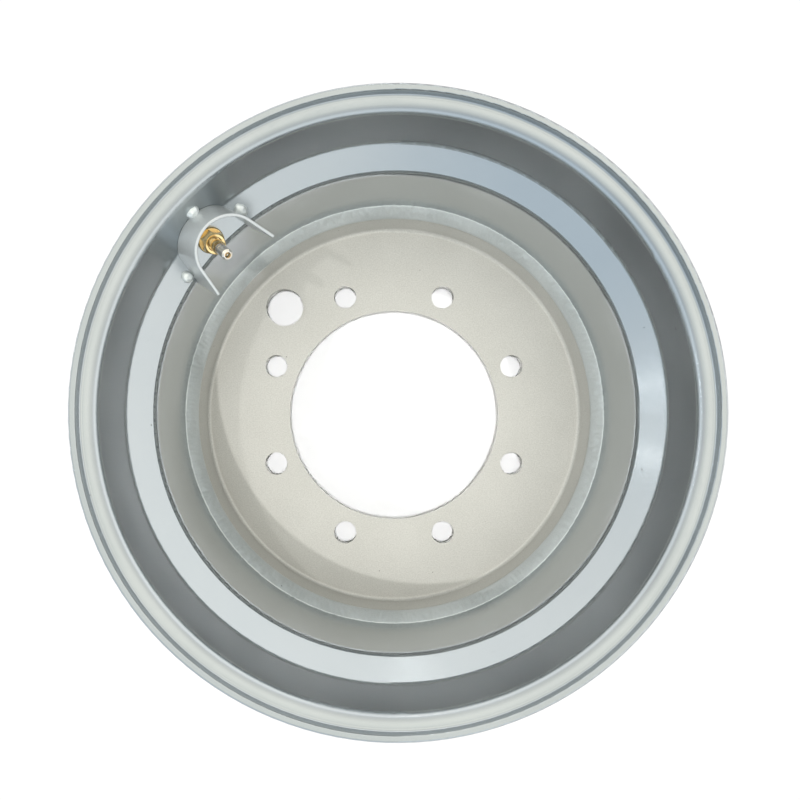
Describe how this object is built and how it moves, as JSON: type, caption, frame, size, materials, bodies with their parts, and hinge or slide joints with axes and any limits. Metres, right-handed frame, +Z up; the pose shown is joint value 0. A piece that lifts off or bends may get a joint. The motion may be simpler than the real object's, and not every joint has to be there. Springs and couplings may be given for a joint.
{
  "type": "tractor wheel rim",
  "caption": "Painted steel wheel rim: deep drop-centre barrel with tapered bead seats, welded dished disc with hub bore and stud holes, and a guarded brass tyre valve.",
  "frame": {"origin": "on the wheel axis, in the plane of the disc's lower face, which the hub bolts to", "axes": "+Z up along the wheel axis, towards the side with the valve; the wheel lies on its lower flange; the stud holes are 22.5 degrees either side of +X and +Y and the valve is in the -X +Y quarter"},
  "size_m": [0.5206, 0.5206, 0.3846],
  "materials": {
    "barrel_paint": "silver paint, satin",
    "disc_paint": "silver paint, satin",
    "weld_paint": "silver paint over weld",
    "guard_paint": "silver paint, satin",
    "valve_brass": "plain brass, slightly dull",
    "valve_nickel": "nickel plated",
    "valve_rubber": "matt black"
  },
  "bodies": {
    "wheel": {"rim_barrel": "barrel_paint", "wheel_disc": "disc_paint", "disc_weld": "weld_paint", "valve_guard": "guard_paint", "guard_tack_welds": "weld_paint", "valve_spud": "valve_brass", "valve_grommet": "valve_rubber", "valve_washer": "valve_brass", "valve_nut": "valve_brass", "valve_core_housing": "valve_nickel", "valve_collar": "valve_brass", "valve_core": "valve_brass"},
    "valve_pin": {"valve_core_pin": "valve_nickel"}
  },
  "joints": [
    {"name": "valve_pin_press", "type": "slide", "parent": "wheel", "child": "valve_pin", "axis": [-0.5171, 0.4822, -0.7071], "range_m": [0, 0.0015], "stiffness_N_per_m": 2500, "springref_m": -0.0004}
  ]
}
